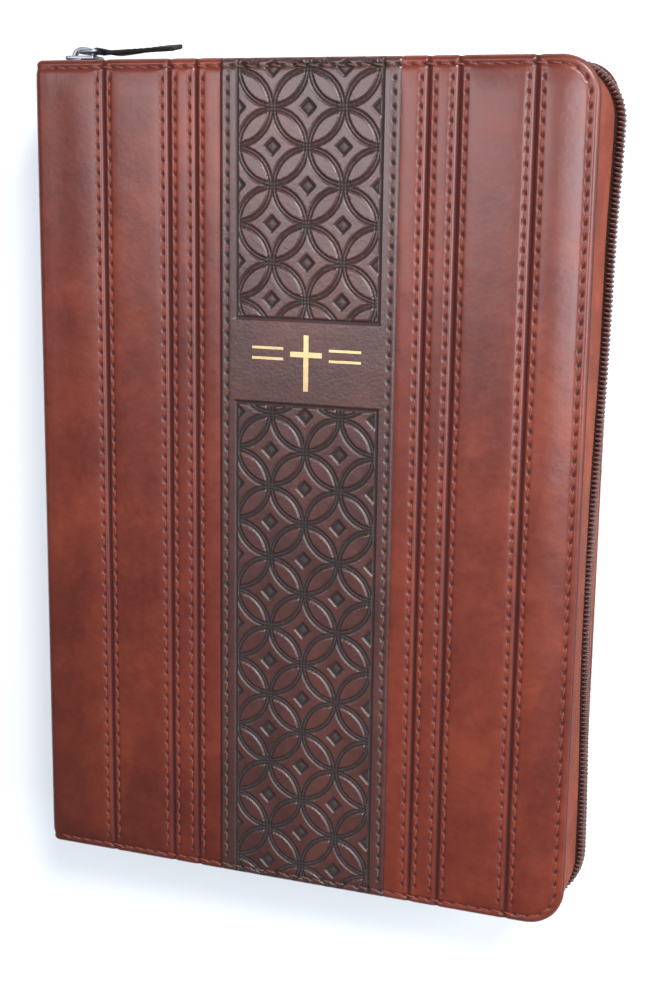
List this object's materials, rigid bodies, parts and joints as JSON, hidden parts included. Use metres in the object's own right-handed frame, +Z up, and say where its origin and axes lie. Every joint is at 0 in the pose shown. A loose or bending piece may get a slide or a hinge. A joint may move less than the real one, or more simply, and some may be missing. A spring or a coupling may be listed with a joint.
{
  "type": "zip-around bible",
  "caption": "Closed zip-around book with a stitched leather cover, pressed pattern panel, gusset, zip, pull tab and an opening text block.",
  "frame": {"origin": "centre of the back cover's outer face, which the closed book lies on", "axes": "+X towards the fore edge, +Y towards the head, +Z up through the front cover"},
  "size_m": [0.1596, 0.2333, 0.0312],
  "materials": {
    "leather_brown": "mottled matt bonded leather with a soft sheen",
    "leather_dark": "dark pressed bonded leather with a soft sheen",
    "leather_gusset": "fine-grained tan leather",
    "stitching": "twisted thread",
    "gold_foil": "pressed foil",
    "board": "grey board",
    "lining": "smooth bonded leather",
    "endpaper": "cream endpaper",
    "zip_tape": "woven tape",
    "zip_coil": "moulded coil",
    "metal": "nickel plated",
    "pages": "thin paper with a gilded edge",
    "spine_glue": "glued mull",
    "bands": "woven band",
    "ribbon": "satin",
    "pull_black": "soft black strip"
  },
  "bodies": {
    "back_cover": {"back_leather": "leather_brown", "back_stitching": "stitching", "back_board": "board", "back_turn_in": "leather_brown", "back_lining": "lining", "back_pastedown": "endpaper", "back_gusset": "leather_gusset", "back_zip_tape": "zip_tape", "back_zip_coil": "zip_coil", "zip_bottom_stop": "metal", "zip_top_stop": "metal", "back_sections": "pages", "back_flyleaf": "endpaper", "back_spine_glue": "spine_glue", "back_head_band": "bands", "back_tail_band": "bands", "ribbon_marker": "ribbon"},
    "spine": {"spine_leather": "leather_brown", "spine_stiffener": "board", "spine_lining": "lining", "spine_stitching": "stitching"},
    "front_cover": {"front_panel_1": "leather_brown", "front_panel_2": "leather_brown", "front_panel_3": "leather_brown", "front_panel_4": "leather_brown", "front_centre_panel": "leather_dark", "front_panel_5": "leather_brown", "front_panel_6": "leather_brown", "front_panel_7": "leather_brown", "front_panel_8": "leather_brown", "front_stitching": "stitching", "foil_ornament": "gold_foil", "front_board": "board", "front_turn_in": "leather_brown", "front_lining": "lining", "front_pastedown": "endpaper", "front_gusset": "leather_gusset", "front_zip_tape": "zip_tape", "front_zip_coil": "zip_coil"},
    "front_pages": {"front_sections": "pages", "front_flyleaf": "endpaper", "front_spine_glue": "spine_glue", "front_head_band": "bands", "front_tail_band": "bands"},
    "zip_slider": {"zip_slider": "metal"},
    "zip_pull": {"pull_link": "metal", "pull_tab": "pull_black"}
  },
  "joints": [
    {"name": "open_pages", "type": "hinge", "parent": "back_cover", "child": "front_pages", "pos_m": [-0.0749, 0, 0.0155], "axis": [0, -1, 0], "range_deg": [0, 180]},
    {"name": "spine_joint", "type": "hinge", "parent": "back_cover", "child": "spine", "pos_m": [-0.0769, 0, 0.0011], "axis": [0, -1, 0], "range_deg": [0, 90]},
    {"name": "cover_joint", "type": "hinge", "parent": "spine", "child": "front_cover", "pos_m": [-0.0769, 0, 0.0299], "axis": [0, -1, 0], "range_deg": [0, 90]},
    {"name": "zip_slide", "type": "slide", "parent": "back_cover", "child": "zip_slider", "axis": [1, 0, 0], "range_m": [0, 0.128]},
    {"name": "pull_swing", "type": "hinge", "parent": "zip_slider", "child": "zip_pull", "pos_m": [-0.0705, 0.117, 0.0155], "axis": [0, 0, 1], "range_deg": [-2, 165]}
  ],
  "couplings": [
    {"joint": "spine_joint", "follows": "open_pages", "ratio": 0.5},
    {"joint": "cover_joint", "follows": "open_pages", "ratio": 0.5}
  ]
}
